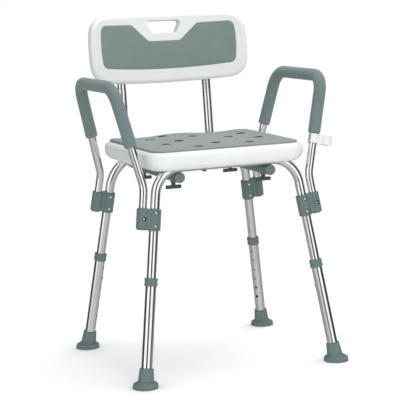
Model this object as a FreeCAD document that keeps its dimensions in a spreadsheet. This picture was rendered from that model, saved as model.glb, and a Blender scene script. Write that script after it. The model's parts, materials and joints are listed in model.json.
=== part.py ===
import FreeCAD, Part
import math
import os
import Sketcher
from FreeCAD import Placement, Rotation, Vector

# A shower chair: a hollow moulded seat and curved backrest with soft pads, two bent leg arches
# with telescoping leg ends, two looped arms with foam grips, and a backrest that slides out of
# two sleeves under the seat. Millimetres, +Z up, the front faces -Y, and the origin lies on the
# floor in the middle of the four feet. Left and right are as seen from the front: left is -X.

doc = FreeCAD.newDocument("ShowerChair")

# the sizes that can be set by themselves
SIZES = (
    # seat and its pad; the sketches of the seat are drawn from its underside
    ("seat_wide", 400.0), ("seat_deep", 362.0), ("seat_thick", 44.0), ("seat_low", 485.0),
    ("seat_corner", 45.0), ("seat_round", 15.0), ("seat_round_low", 26.0), ("seat_wall", 3.0),
    ("channel_gap", 0.4), ("channel_side", 1.4), ("pad_inset", 14.0), ("pad_thick", 4.0),
    ("drain_dia", 22.0),
    # legs: how far the feet stand out past the seat, and how far a leg leans in per height
    ("foot_out_x", 45.0), ("foot_out_y", 29.0), ("leg_lean_x", 0.1425), ("leg_lean_y", 0.127),
    ("leg_dia", 22.2), ("leg_wall", 1.3), ("leg_end", 127.0), ("arch_sink", 6.0),
    ("front_bend", 68.0), ("rear_bend", 88.0),
    # telescoping leg ends, measured along the leg from the floor
    ("end_wall", 1.3), ("end_gap", 0.3), ("end_low", 10.0),
    ("hole_pitch", 25.4), ("hole_used_up", 188.0), ("holes_above", 1), ("holes_below", 4),
    ("collar_over", 18.6), ("collar_tall", 18.0), ("collar_wall", 2.7), ("collar_lip", 2.0),
    ("collar_rim", 5.0), ("collar_waist", 0.7), ("collar_round", 1.2),
    # rubber feet
    ("socket_wall", 3.3), ("socket_flare", 7.0), ("socket_tall", 44.0),
    ("skirt_more", 6.0), ("skirt_tall", 4.0),
    ("flange_more", 13.0), ("flange_tall", 11.0), ("flange_round", 4.0),
    # the close fit of clamps, rivets and the clip, and the easy fit of studs and screws
    ("fit_gap", 0.05), ("stud_gap", 0.1),
    # snap buttons
    ("button_dia", 6.4), ("button_gap", 0.3), ("button_proud", 2.5), ("button_flange_over", 1.0),
    ("button_flange_thick", 1.2), ("button_flange_gap", 1.5),
    ("strip_wide", 7.0), ("strip_thick", 0.8), ("strip_long", 36.0), ("strip_gap", 1.4),
    # clamps that join a leg and an arm
    ("clamp_below", 126.5), ("clamp_tall", 50.0), ("clamp_wall", 4.3), ("clamp_web", 20.0),
    ("clamp_floor", 3.0), ("clamp_step", 2.6), ("clamp_round", 2.0), ("arm_leg_gap", 8.4),
    ("rivet_dia", 5.0), ("rivet_head_dia", 8.4), ("rivet_head_tall", 2.2), ("rivet_apart", 30.4),
    ("rivet_recess_gap", 0.8), ("rivet_recess_deep", 1.4), ("rivet_tail_dia", 6.7),
    ("rivet_tail_tall", 1.1),
    ("arm_button_dia", 7.0), ("arm_hole_gap", 1.5), ("arm_button_sunk", 0.5),
    # arms
    ("arm_dia", 19.0), ("arm_wall", 1.2), ("arm_end_gap", 1.0), ("arm_lean_x", 0.24),
    ("arm_lean_y", 0.125), ("arm_bend_below", 35.0), ("arm_rise", 195.0), ("arm_bend", 70.0),
    ("arm_corner", 45.0), ("grip_wall", 5.5), ("grip_down", 135.0), ("grip_gap", 0.1),
    # sleeves under the seat, and the backrest posts in them
    ("sleeve_x", 116.0), ("sleeve_wall", 1.3), ("sleeve_clear", 1.8), ("sleeve_front_in", 42.0),
    ("sleeve_rear_in", 39.0), ("rail_wide", 44.0), ("rail_thick", 5.0), ("rail_clear", 11.5),
    ("web_wide", 16.0), ("plug_face", 3.0), ("plug_deep", 10.0), ("plug_edge", 1.0),
    ("boss_dia", 14.0), ("boss_tall", 3.0),
    ("post_dia", 22.2), ("post_wall", 1.3), ("post_gap", 0.3), ("post_bend", 45.0),
    ("post_lean", 0.096), ("post_end_gap", 21.0), ("post_out_y", 39.0), ("post_below_top", 39.0),
    ("cap_lid", 2.0), ("cap_deep", 10.0),
    # wing knobs
    ("knob_y", 98.0), ("wing_long", 38.0), ("wing_wide", 10.0), ("wing_tall", 8.0),
    ("stem_dia", 10.0), ("stem_tall", 6.0), ("stem_gap", 0.4), ("stud_dia", 6.0),
    ("stud_spare", 0.3), ("seat_knob_turn", 75.0),
    ("seat_knob_y", -6.0), ("seat_boss_tall", 12.0), ("insert_wall", 1.4), ("insert_tall", 15.0),
    # screws
    ("screw_dia", 4.0), ("screw_head_dia", 8.0), ("screw_head_tall", 2.4), ("screw_edge", 4.5),
    ("screw_deep", 12.0), ("screw_short", 1.0), ("rail_screw_in", 6.0), ("rail_screw_mid", 60.0),
    ("back_screw_deep", 8.0), ("back_screw_down", 60.0), ("back_screw_apart", 70.0),
    # backrest
    ("back_wide", 424.0), ("back_over", 350.0), ("back_tall", 174.0), ("back_ahead", 22.53),
    ("back_curve", 467.0), ("back_thick", 28.0), ("back_corner", 44.0), ("back_rim", 9.0),
    ("back_bulge", 7.0), ("back_side_bulge", 9.0), ("back_front_wall", 6.5),
    ("back_rear_wall", 8.0), ("channel_more", 40.0), ("channel_over", 2.7),
    ("hand_top_wide", 98.0), ("hand_low_wide", 68.0), ("hand_tall", 31.0), ("hand_below_top", 17.0),
    ("hand_corner", 7.0), ("hand_round", 2.5),
    ("back_pad_thick", 4.0), ("back_pad_gap", 0.3), ("back_pad_proud", 0.6), ("back_pad_side", 34.0),
    ("back_pad_top", 26.0), ("back_pad_low", 42.0), ("back_pad_corner", 16.0),
    ("notch_top_wide", 178.0), ("notch_low_wide", 86.0), ("notch_deep", 42.0),
    # shower-head clip on the front right arm
    ("clip_tall", 22.0), ("clip_wall", 3.0), ("clip_below_grip", 2.0),
    ("clip_slot", 13.0), ("cup_away", 35.0), ("cup_bore", 21.0), ("cup_wall", 2.5),
    ("cup_slot", 14.0), ("neck_wide", 10.0),
)

# the sizes and places that follow from others
TIED = (
    ("foot_x", "seat_wide / 2 + foot_out_x"), ("foot_y", "seat_deep / 2 + foot_out_y"),
    ("arch_height", "seat_low + arch_sink"), ("bar_y", "foot_y - leg_lean_y * arch_height"),
    ("end_dia", "leg_dia + 2 * end_gap + 2 * end_wall"),
    ("hole_dia", "button_dia + 2 * button_gap"),
    ("button_flange", "hole_dia + 2 * button_flange_over"),
    ("collar_low", "hole_used_up + holes_above * hole_pitch + collar_over"),
    ("collar_dia", "end_dia + 2 * collar_wall"),
    ("socket_top_dia", "end_dia + 2 * socket_wall"),
    ("socket_low_dia", "socket_top_dia + socket_flare"),
    ("skirt_dia", "socket_low_dia + skirt_more"), ("flange_dia", "skirt_dia + flange_more"),
    ("clamp_low", "seat_low - clamp_below"),
    ("arm_offset", "leg_dia / 2 + arm_dia / 2 + arm_leg_gap"),
    ("rivet_recess_dia", "rivet_head_dia + 2 * rivet_recess_gap"),
    ("arm_hole_dia", "arm_button_dia + 2 * arm_hole_gap"),
    ("arm_bend_up", "seat_low - arm_bend_below"), ("arm_top", "seat_low + arm_rise"),
    ("grip_low", "arm_top - grip_down"), ("grip_dia", "arm_dia + 2 * grip_wall"),
    ("sleeve_dia", "post_dia + 2 * post_gap + 2 * sleeve_wall"),
    ("sleeve_height", "arch_height - leg_dia / 2 - sleeve_clear - sleeve_dia / 2"),
    ("sleeve_front", "seat_deep / 2 - sleeve_front_in"),
    ("sleeve_rear", "seat_deep / 2 - sleeve_rear_in"),
    ("rail_half", "bar_y - leg_dia / 2 - rail_clear"),
    ("rail_screw_end", "rail_half - rail_screw_in"),
    ("post_front", "sleeve_front - post_end_gap"), ("post_foot_y", "seat_deep / 2 + post_out_y"),
    ("back_top", "seat_low + back_over"), ("back_low", "back_top - back_tall"),
    ("post_top", "back_top - post_below_top"),
    ("back_y", "post_foot_y + post_lean * (back_top - back_tall / 2 - sleeve_height) - back_ahead"),
    ("stud_long", "boss_tall + sleeve_wall + stud_spare + stem_gap - stud_gap"),
    ("insert_dia", "stud_dia + 2 * stud_gap + 2 * insert_wall"),
)

# centres of the round drain holes, as shares of the seat's half width and half depth
DRAIN_SHARES = (
    (-0.240, 0.773), (0.040, 0.414), (-0.490, 0.530), (-0.260, 0.110), (-0.510, -0.122),
    (-0.285, -0.652), (0.015, -0.442), (0.440, 0.221), (0.705, 0.453), (0.695, -0.138),
    (0.400, -0.575),
)

CORNERS = {
    "front_left": (-1, -1), "front_right": (1, -1), "rear_left": (-1, 1), "rear_right": (1, 1),
}
SIDES = {"left": -1, "right": 1}
BACK_REACH = 140.0
X, Y, Z = Vector(1, 0, 0), Vector(0, 1, 0), Vector(0, 0, 1)
ORIGIN = Vector(0, 0, 0)


class Size:
    """A number together with the sheet formula that it comes from."""

    def __init__(self, value, formula):
        self.value = value
        self.formula = formula

    def _with(self, sign, other, value):
        text = other.formula if isinstance(other, Size) else repr(other)
        return Size(value, f"({self.formula} {sign} {text})")

    def __add__(self, other):
        return self._with("+", other, self.value + float(other))

    def __sub__(self, other):
        return self._with("-", other, self.value - float(other))

    def __mul__(self, other):
        return self._with("*", other, self.value * float(other))

    def __truediv__(self, other):
        return self._with("/", other, self.value / float(other))

    def __neg__(self):
        return Size(-self.value, f"(-1 * {self.formula})")

    def __float__(self):
        return float(self.value)


class Sizes:
    """The driving dimensions: a sheet whose cells are read as attributes."""

    def __init__(self, sizes, tied):
        sheet = doc.addObject("Spreadsheet::Sheet", "Sizes")
        cells = [(alias, str(value)) for alias, value in sizes]
        cells += [(alias, f"={formula}") for alias, formula in tied]
        for row, (alias, content) in enumerate(cells, start=1):
            sheet.set(f"A{row}", alias)
            sheet.set(f"B{row}", content)
            sheet.setAlias(f"B{row}", alias)
        doc.recompute()
        for alias, _ in cells:
            self.__dict__[alias] = Size(float(sheet.get(alias)), f"Sizes.{alias}")


S = Sizes(SIZES, TIED)
DRAINS = [(S.seat_wide / 2 * x, S.seat_deep / 2 * y) for x, y in DRAIN_SHARES]


def bind(item, prop, size):
    """Ties a property to the sheet."""
    item.setExpression(prop, size.formula)


def frame_at(origin, along, across):
    """A placement whose z runs along one direction and whose x is as near as can be to another."""
    z_axis = Vector(along).normalize()
    y_axis = z_axis.cross(across).normalize()
    return Placement(origin, Rotation(y_axis.cross(z_axis), y_axis, z_axis))


# ---- sketched bodies ---------------------------------------------------------------------------

def new_body(label):
    body = doc.addObject("PartDesign::Body", label)
    body.Label = label
    return body


def new_sketch(body, role, lift=None):
    """A sketch on one of the body's own origin planes, lifted off it when a size is given."""
    sketch = body.newObject("Sketcher::SketchObject", "Sketch")
    plane = [item for item in body.Origin.OriginFeatures if item.Role == role][0]
    sketch.AttachmentSupport = [(plane, "")]
    sketch.MapMode = "FlatFace"
    if lift is not None:
        bind(sketch, "AttachmentOffset.Base.z", lift)
    return sketch


def pin_point(sketch, item, vertex, x, y):
    """Holds a sketch point at sheet-driven distances from the sketch's origin."""
    for kind, size, axis in (("DistanceX", x, -2), ("DistanceY", y, -1)):
        value = float(size)
        if value == 0:
            sketch.addConstraint(Sketcher.Constraint("PointOnObject", item, vertex, axis))
            continue
        ends = (-1, 1, item, vertex) if value > 0 else (item, vertex, -1, 1)
        number = sketch.addConstraint(Sketcher.Constraint(kind, *ends, abs(value)))
        if isinstance(size, Size):
            held = size if value > 0 else -size
            sketch.setExpression(f"Constraints[{number}]", held.formula)


def draw_circle(sketch, x, y, radius):
    circle = Part.Circle(Vector(float(x), float(y), 0), Z, float(radius))
    item = sketch.addGeometry(circle)
    number = sketch.addConstraint(Sketcher.Constraint("Radius", item, float(radius)))
    sketch.setExpression(f"Constraints[{number}]", radius.formula)
    pin_point(sketch, item, 3, x, y)


def draw_polygon(sketch, points):
    """A closed polygon with every corner held by the sheet."""
    spots = [Vector(float(x), float(y), 0) for x, y in points]
    items = [
        sketch.addGeometry(Part.LineSegment(start, end))
        for start, end in zip(spots, spots[1:] + spots[:1])
    ]
    for item, following in zip(items, items[1:] + items[:1]):
        sketch.addConstraint(Sketcher.Constraint("Coincident", item, 2, following, 1))
    for item, (x, y) in zip(items, points):
        pin_point(sketch, item, 1, x, y)


def draw_rectangle(sketch, low_x, high_x, low_y, high_y):
    draw_polygon(sketch, [(low_x, low_y), (high_x, low_y), (high_x, high_y), (low_x, high_y)])


def pad(body, sketch, length, reverse=False, middle=False):
    feature = body.newObject("PartDesign::Pad", "Pad")
    feature.Profile = sketch
    bind(feature, "Length", length)
    feature.Reversed = reverse
    feature.Midplane = middle
    return feature


def pocket(body, sketch, length=None, reverse=False):
    """Cuts to a depth, or right through both ways when no depth is given."""
    feature = body.newObject("PartDesign::Pocket", "Pocket")
    feature.Profile = sketch
    if length is None:
        feature.Type = "ThroughAll"
        feature.Midplane = True
    else:
        bind(feature, "Length", length)
        feature.Reversed = reverse
    return feature


def fillet(body, feature, radius, test):
    """Rounds the edges of a feature that pass a test."""
    doc.recompute()
    names = [f"Edge{n}" for n, edge in enumerate(feature.Shape.Edges, start=1) if test(edge)]
    rounding = body.newObject("PartDesign::Fillet", "Fillet")
    rounding.Base = (feature, names)
    bind(rounding, "Radius", radius)
    return rounding


def revolve(body, points, role="XZ_Plane"):
    """A turned piece: a profile swept about the body's z axis."""
    sketch = new_sketch(body, role)
    draw_polygon(sketch, points)
    feature = body.newObject("PartDesign::Revolution", "Revolution")
    feature.Profile = sketch
    feature.ReferenceAxis = (sketch, ["V_Axis"])
    feature.Angle = 360
    return feature


def runs_flat(edge):
    """Whether an edge lies in one horizontal plane."""
    box = edge.BoundBox
    return box.ZLength < 0.01


def stands_up(edge):
    """Whether an edge is a vertical line."""
    box = edge.BoundBox
    return box.XLength < 0.01 and box.YLength < 0.01


# ---- shapes made in code -----------------------------------------------------------------------

def feature_of(label, shape, placement=None):
    item = doc.addObject("Part::Feature", label)
    item.Label = label
    item.Shape = shape
    if placement is not None:
        item.Placement = placement
    return item


def bent_path(points, radii):
    """Straight runs joined by tangent arcs, with one radius for each inner point."""
    edges = []
    start = points[0]
    for before, corner, after, radius in zip(points, points[1:], points[2:], radii):
        into = (corner - before).normalize()
        out = (after - corner).normalize()
        half_turn = into.getAngle(out) / 2
        reach = radius * math.tan(half_turn)
        middle = corner + (out - into).normalize() * (radius / math.cos(half_turn) - radius)
        edges.append(Part.LineSegment(start, corner - into * reach).toShape())
        edges.append(Part.Arc(corner - into * reach, middle, corner + out * reach).toShape())
        start = corner + out * reach
    edges.append(Part.LineSegment(start, points[-1]).toShape())
    return Part.Wire(edges)


def rod(path, radius):
    """A solid round rod along a path."""
    first = path.OrderedEdges[0]
    start = first.valueAt(first.FirstParameter)
    direction = first.tangentAt(first.FirstParameter)
    circle = Part.Wire(Part.Circle(start, direction, float(radius)).toShape())
    return path.makePipeShell([circle], True, False)


def cylinder(radius, start, end):
    return Part.makeCylinder(float(radius), (end - start).Length, start, end - start)


# ---- where the legs and arms run ---------------------------------------------------------------

def leg_direction(side, end):
    lean = Vector(-side * float(S.leg_lean_x), -end * float(S.leg_lean_y), 1)
    return lean.normalize()


def leg_point(side, end, along):
    """A point on a leg's axis, measured along the leg from the floor."""
    foot = Vector(side * float(S.foot_x), end * float(S.foot_y), 0)
    return foot + leg_direction(side, end) * float(along)


def leg_height(height):
    """The distance along a leg at which it reaches a height."""
    return height / leg_direction(1, 1).z


def to_centre(side, end):
    """The level direction from a leg towards the middle of the chair."""
    return Vector(-side * float(S.foot_x), -end * float(S.foot_y), 0).normalize()


def leg_frame(side, end, along=0.0):
    """A frame on a leg's axis: z up the leg, x towards the middle of the chair."""
    return frame_at(leg_point(side, end, along), leg_direction(side, end), to_centre(side, end))


def clamp_frame(side, end, along):
    """A frame on a leg's axis: z up the leg, x outwards to the side."""
    return frame_at(leg_point(side, end, along), leg_direction(side, end), X * side)


def arm_low_point(side, end, along):
    """A point on the part of an arm that runs beside its leg."""
    return clamp_frame(side, end, along).multVec(Vector(float(S.arm_offset), 0, 0))


def arm_points(side):
    """The corners of an arm's path, from its front end to its rear end."""
    low = arm_low_point(side, 1, S.clamp_low + S.clamp_floor + S.arm_end_gap)
    up = leg_direction(side, 1)
    bend = low + up * ((float(S.arm_bend_up) - low.z) / up.z)
    rise = float(S.arm_top) - bend.z
    lean = Vector(side * float(S.arm_lean_x), -float(S.arm_lean_y), 1)
    quarter = [low, bend, bend + lean * rise]
    mirrored = [Vector(spot.x, -spot.y, spot.z) for spot in quarter]
    return mirrored + quarter[::-1]


def arm_point_at(side, end, height):
    """A point on the leaning part of an arm, at a height."""
    bend, top = arm_points(side)[1:3]
    spot = bend + (top - bend) * ((height - bend.z) / (top.z - bend.z))
    return Vector(spot.x, end * abs(spot.y), spot.z)


# ---- legs --------------------------------------------------------------------------------------

def button_bore(side, end, radius):
    """The radial hole for a snap button in one leg."""
    frame = leg_frame(side, end, S.hole_used_up)
    return cylinder(radius, frame.Base, frame.multVec(Vector(float(S.end_dia), 0, 0)))


def rivet_axes(side, end):
    """Frames of the two rivets of a clamp: z points out of the rivet's head."""
    middle = S.clamp_low + S.clamp_tall / 2
    frames = []
    for away in (-S.rivet_apart / 2, S.rivet_apart / 2):
        frame = clamp_frame(side, end, middle + away)
        out = frame.Rotation.multVec(Y) * (side * end)
        frames.append(frame_at(frame.Base, out, frame.Rotation.multVec(Z)))
    return frames


def arch_bend(end):
    """The bend radius of the front or the rear arch."""
    return float(S.front_bend if end < 0 else S.rear_bend)


def leg_arch(label, end):
    """One bent tube: up a leg, across under the seat and down the other leg."""
    across = leg_height(float(S.arch_height))
    points = [
        leg_point(-1, end, S.leg_end), leg_point(-1, end, across),
        leg_point(1, end, across), leg_point(1, end, S.leg_end),
    ]
    path = bent_path(points, [arch_bend(end)] * 2)
    tube = rod(path, S.leg_dia / 2).cut(rod(path, S.leg_dia / 2 - S.leg_wall))
    reach = float(S.leg_dia)
    bores = [button_bore(side, end, S.hole_dia / 2) for side in (-1, 1)]
    for side in (-1, 1):
        for frame in rivet_axes(side, end):
            low, high = frame.multVec(-Z * reach), frame.multVec(Z * reach)
            bores.append(cylinder(S.rivet_dia / 2 + S.fit_gap, low, high))
    feature_of(label, tube.cut(bores))


def leg_extension(label, frame):
    """The outer tube that slides on the leg, with its row of snap-button holes."""
    body = new_body(label)
    outer = S.end_dia / 2
    inner = S.leg_dia / 2 + S.end_gap
    ring = new_sketch(body, "XY_Plane", S.end_low)
    draw_circle(ring, 0, 0, outer)
    draw_circle(ring, 0, 0, inner)
    pad(body, ring, S.collar_low + S.collar_tall - S.collar_lip - S.end_low)
    hole = new_sketch(body, "YZ_Plane")
    draw_circle(hole, 0, S.hole_used_up - S.hole_pitch * S.holes_below, S.hole_dia / 2)
    cut = pocket(body, hole, S.end_dia, reverse=True)
    row = body.newObject("PartDesign::LinearPattern", "HoleRow")
    row.Originals = [cut]
    row.Direction = (hole, ["V_Axis"])
    steps = S.holes_above + S.holes_below
    bind(row, "Length", S.hole_pitch * steps)
    row.Occurrences = int(float(steps)) + 1
    body.Tip = row
    body.Placement = frame


def leg_collar(label, frame):
    """The moulded collar on top of a leg extension; its lip covers the tube's cut end."""
    body = new_body(label)
    outer, tube, lip = S.collar_dia / 2, S.end_dia / 2, S.leg_dia / 2 + S.end_gap
    low, high = S.collar_low, S.collar_low + S.collar_tall
    rim, waist = S.collar_rim, outer - S.collar_waist
    ring = revolve(body, [
        (tube, low), (outer, low), (outer, low + rim), (waist, low + rim + S.collar_waist),
        (waist, high - rim - S.collar_waist), (outer, high - rim), (outer, high), (lip, high),
        (lip, high - S.collar_lip), (tube, high - S.collar_lip),
    ])
    ends = (float(low), float(high))
    fillet(body, ring, S.collar_round, lambda edge: runs_flat(edge)
           and abs(edge.BoundBox.XMax - float(outer)) < 0.01
           and min(abs(edge.BoundBox.ZMin - level) for level in ends) < 0.01)
    body.Placement = frame


def rubber_foot(label, side, end):
    """A flat flange on the floor with a tapered socket that leans along the leg."""
    frame = leg_frame(side, end)
    foot = frame.Base
    flange = Part.makeCylinder(float(S.flange_dia) / 2, float(S.flange_tall), foot)
    top_edges = [e for e in flange.Edges if abs(e.BoundBox.ZMin - float(S.flange_tall)) < 0.01]
    flange = flange.makeFillet(float(S.flange_round), top_edges)
    socket = Part.makeCone(
        float(S.socket_low_dia) / 2, float(S.socket_top_dia) / 2,
        float(S.socket_tall) - float(S.flange_tall) / 2,
        frame.multVec(Z * (float(S.flange_tall) / 2)), frame.Rotation.multVec(Z),
    )
    skirt = Part.makeCone(float(S.skirt_dia) / 2, float(S.socket_low_dia) / 2,
                          float(S.skirt_tall), foot + Z * float(S.flange_tall))
    seat = cylinder(S.end_dia / 2, frame.multVec(Z * float(S.end_low)),
                    frame.multVec(Z * float(S.socket_tall * 2)))
    feature_of(label, flange.fuse([skirt, socket]).cut(seat).removeSplitter())


# ---- snap buttons and the strip springs behind them --------------------------------------------

def snap_button(label, tip, radius, root, frame):
    """A domed pin with a flange that keeps it in the tube; x of the frame points out."""
    body = new_body(label)
    dome = radius * 0.4
    revolve(body, [
        (0, root), (S.button_flange / 2, root),
        (S.button_flange / 2, root + S.button_flange_thick),
        (radius, root + S.button_flange_thick), (radius, tip - dome), (dome, tip), (0, tip),
    ])
    out = frame.Rotation.multVec(X)
    body.Placement = frame_at(frame.Base, out, frame.Rotation.multVec(Z))


def strip_spring(label, root, bore, frame):
    """A V of spring strip inside the tube: one leaf under the button, one on the far wall."""
    body = new_body(label)
    far = bore - S.strip_gap
    half = S.button_flange / 2
    thick = S.strip_thick
    sketch = new_sketch(body, "XZ_Plane")
    draw_polygon(sketch, [
        (root, half), (root, -half), (-thick, -S.strip_long), (-thick * 2, -S.strip_long),
        (-far, half), (-far + thick, half), (-thick * 1.5, -S.strip_long + thick * 3),
        (root - thick, -half), (root - thick, half),
    ])
    pad(body, sketch, S.strip_wide, middle=True)
    body.Placement = frame


# ---- clamps ------------------------------------------------------------------------------------

def leg_clamp(label, side, end):
    """A figure-of-eight moulding: a through sleeve for the leg and a closed one for the arm."""
    body = new_body(label)
    leg_bore = S.leg_dia / 2 + S.fit_gap
    arm_bore = S.arm_dia / 2 + S.fit_gap
    sketch = new_sketch(body, "XY_Plane")
    draw_circle(sketch, 0, 0, leg_bore + S.clamp_wall)
    pad(body, sketch, S.clamp_tall)
    sketch = new_sketch(body, "XY_Plane", S.clamp_floor)
    draw_circle(sketch, S.arm_offset, 0, arm_bore + S.clamp_wall)
    pad(body, sketch, S.clamp_tall - S.clamp_floor)
    sketch = new_sketch(body, "XY_Plane")
    draw_circle(sketch, S.arm_offset, 0, arm_bore + S.clamp_wall - S.clamp_step)
    pad(body, sketch, S.clamp_floor)
    sketch = new_sketch(body, "XY_Plane", S.clamp_floor)
    draw_rectangle(sketch, 0, S.arm_offset, -S.clamp_web / 2, S.clamp_web / 2)
    block = pad(body, sketch, S.clamp_tall - S.clamp_floor)
    ends = (0.0, float(S.clamp_tall))
    fillet(body, block, S.clamp_round, lambda edge: runs_flat(edge)
           and min(abs(edge.BoundBox.ZMin - level) for level in ends) < 0.01)
    sketch = new_sketch(body, "XY_Plane")
    draw_circle(sketch, 0, 0, leg_bore)
    pocket(body, sketch)
    sketch = new_sketch(body, "XY_Plane", S.clamp_floor)
    draw_circle(sketch, S.arm_offset, 0, arm_bore)
    pocket(body, sketch, S.clamp_tall, reverse=True)
    middle = S.clamp_tall / 2
    for away in (-S.rivet_apart / 2, S.rivet_apart / 2):
        sketch = new_sketch(body, "XZ_Plane")
        draw_circle(sketch, 0, middle + away, S.rivet_dia / 2 + S.fit_gap)
        pocket(body, sketch)
        for face in (-1, 1):
            depth = leg_bore + S.clamp_wall - S.rivet_recess_deep
            sketch = new_sketch(body, "XZ_Plane", depth * face)
            draw_circle(sketch, 0, middle + away, S.rivet_recess_dia / 2)
            pocket(body, sketch, S.clamp_wall, reverse=face > 0)
    sketch = new_sketch(body, "XZ_Plane")
    draw_circle(sketch, S.arm_offset, middle, S.arm_hole_dia / 2)
    # the sketch plane faces -y of the clamp, and the button looks away from the chair's middle
    pocket(body, sketch, S.arm_offset, reverse=side * end < 0)
    body.Placement = clamp_frame(side, end, S.clamp_low)


def clamp_rivets():
    """The eight rivets through the clamps and legs: a dome outside and a flat tail inside."""
    rivets = []
    seat = float(S.leg_dia / 2 + S.fit_gap + S.clamp_wall - S.rivet_recess_deep)
    head, tall = float(S.rivet_head_dia) / 2, float(S.rivet_head_tall)
    tail_tall = float(S.rivet_tail_tall)
    for side, end in CORNERS.values():
        for frame in rivet_axes(side, end):
            shank = Part.makeCylinder(float(S.rivet_dia) / 2, 2 * seat, Vector(0, 0, -seat))
            ball = (head * head + tall * tall) / (2 * tall)
            dome = Part.makeSphere(ball, Vector(0, 0, seat + tall - ball))
            dome = dome.common(Part.makeCylinder(head, 2 * tall, Vector(0, 0, seat)))
            tail = Part.makeCylinder(float(S.rivet_tail_dia) / 2, tail_tall,
                                     Vector(0, 0, -seat - tail_tall))
            rivet = shank.fuse([dome, tail]).removeSplitter()
            rivet.Placement = frame
            rivets.append(rivet)
    feature_of("clamp_rivets", Part.makeCompound(rivets))


# ---- arms --------------------------------------------------------------------------------------

def arm_tube(label, side):
    points = arm_points(side)
    radii = [float(S.arm_bend), float(S.arm_corner), float(S.arm_corner), float(S.arm_bend)]
    path = bent_path(points, radii)
    tube = rod(path, S.arm_dia / 2).cut(rod(path, S.arm_dia / 2 - S.arm_wall))
    bores = []
    for end in (-1, 1):
        frame = arm_button_frame(side, end)
        bores.append(cylinder(S.arm_button_dia / 2 + S.stud_gap, frame.Base,
                              frame.multVec(X * float(S.arm_dia))))
    feature_of(label, tube.cut(bores))


def arm_button_frame(side, end):
    """A frame on the arm's axis at its snap button: z up the arm, x out through the button."""
    base = arm_low_point(side, end, S.clamp_low + S.clamp_tall / 2)
    clamp = clamp_frame(side, end, S.clamp_low)
    out = clamp.Rotation.multVec(Y) * (side * end)
    return frame_at(base, leg_direction(side, end), out)


def arm_grip(label, side):
    """The foam sleeve over the top of an arm."""
    points = arm_points(side)
    low = float(S.grip_low)
    ends = [arm_point_at(side, -1, low), arm_point_at(side, 1, low)]
    path = bent_path([ends[0], points[2], points[3], ends[1]], [float(S.arm_corner)] * 2)
    foam = rod(path, S.grip_dia / 2).cut(rod(path, S.arm_dia / 2 + S.grip_gap))
    feature_of(label, foam)


# ---- seat --------------------------------------------------------------------------------------

def seat_shell():
    """The hollow seat, open below only where the leg arches lie in it and at its drain holes."""
    body = new_body("seat_shell")
    half_x, half_y, wall, thick = S.seat_wide / 2, S.seat_deep / 2, S.seat_wall, S.seat_thick
    sketch = new_sketch(body, "XY_Plane")
    draw_rectangle(sketch, -half_x, half_x, -half_y, half_y)
    slab = fillet(body, pad(body, sketch, thick), S.seat_corner, stands_up)
    slab = fillet(body, slab, S.seat_round, lambda edge: runs_flat(edge) and edge.BoundBox.ZMin > 1)
    fillet(body, slab, S.seat_round_low, lambda edge: runs_flat(edge) and edge.BoundBox.ZMax < 1)
    sketch = new_sketch(body, "XY_Plane")
    draw_circle(sketch, 0, S.seat_knob_y, S.insert_dia / 2 + wall)
    pad(body, sketch, S.seat_boss_tall, reverse=True)

    channel_half = S.leg_dia / 2 + S.channel_side
    channel_top = S.leg_dia / 2 + S.channel_gap + S.arch_height - S.seat_low
    in_x, in_y = half_x - S.seat_round * 0.7, half_y - S.seat_round * 0.7
    low_x = half_x - S.seat_round_low * 0.85
    middle = S.bar_y - (channel_half + wall)
    island = S.drain_dia / 2 + wall

    # the lower hollow lies between the two channels, round the screw bosses
    sketch = new_sketch(body, "XY_Plane", wall)
    draw_rectangle(sketch, -low_x, low_x, -middle, middle)
    for x, y in DRAINS:
        if abs(float(y)) + float(island) < float(middle):
            draw_circle(sketch, x, y, island)
    draw_circle(sketch, 0, S.seat_knob_y, S.insert_dia / 2 + wall)
    for x, y in rail_screw_places():
        draw_circle(sketch, x, y, S.screw_dia / 2 + wall)
    pocket(body, sketch, channel_top, reverse=True)

    # the upper hollow reaches over the channels
    sketch = new_sketch(body, "XY_Plane", channel_top + wall)
    cut = S.seat_corner * 0.75
    draw_polygon(sketch, [
        (-in_x, cut - in_y), (cut - in_x, -in_y), (in_x - cut, -in_y), (in_x, cut - in_y),
        (in_x, in_y - cut), (in_x - cut, in_y), (cut - in_x, in_y), (-in_x, in_y - cut),
    ])
    for x, y in DRAINS:
        draw_circle(sketch, x, y, island)
    pocket(body, sketch, thick - wall - channel_top - wall, reverse=True)

    # channels that the arches lie in, as long as the tube is inside the seat
    for end in (-1, 1):
        reach = channel_reach(arch_bend(end))
        low, high = S.bar_y * end - channel_half, S.bar_y * end + channel_half
        sketch = new_sketch(body, "XY_Plane")
        draw_rectangle(sketch, -reach, reach, low, high)
        pocket(body, sketch, channel_top, reverse=True)

    drill(body, DRAINS, S.drain_dia / 2)
    drill(body, [(0, S.seat_knob_y)], S.insert_dia / 2, S.insert_tall - S.seat_boss_tall)
    sketch = new_sketch(body, "XY_Plane")
    draw_circle(sketch, 0, S.seat_knob_y, S.insert_dia / 2)
    pocket(body, sketch, S.seat_boss_tall)
    drill(body, rail_screw_places(), S.screw_dia / 2, S.screw_deep)
    body.Placement = Placement(Z * float(S.seat_low), Rotation())


def channel_reach(bend):
    """How far out from the middle an arch with this bend stays inside the seat."""
    height = float(S.arch_height)
    corner = leg_point(1, 1, leg_height(height))
    half_turn = leg_direction(1, 1).getAngle(-X) / 2
    rise = float(S.seat_low) - height + bend
    outer = bend + float(S.leg_dia) / 2 + float(S.channel_side)
    return corner.x - bend * math.tan(half_turn) + math.sqrt(outer * outer - rise * rise)


def drill(body, places, radius, depth=None):
    """Round holes up from the body's base plane, right through when no depth is given."""
    sketch = new_sketch(body, "XY_Plane")
    for x, y in places:
        draw_circle(sketch, x, y, radius)
    pocket(body, sketch, depth, reverse=True)


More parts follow.
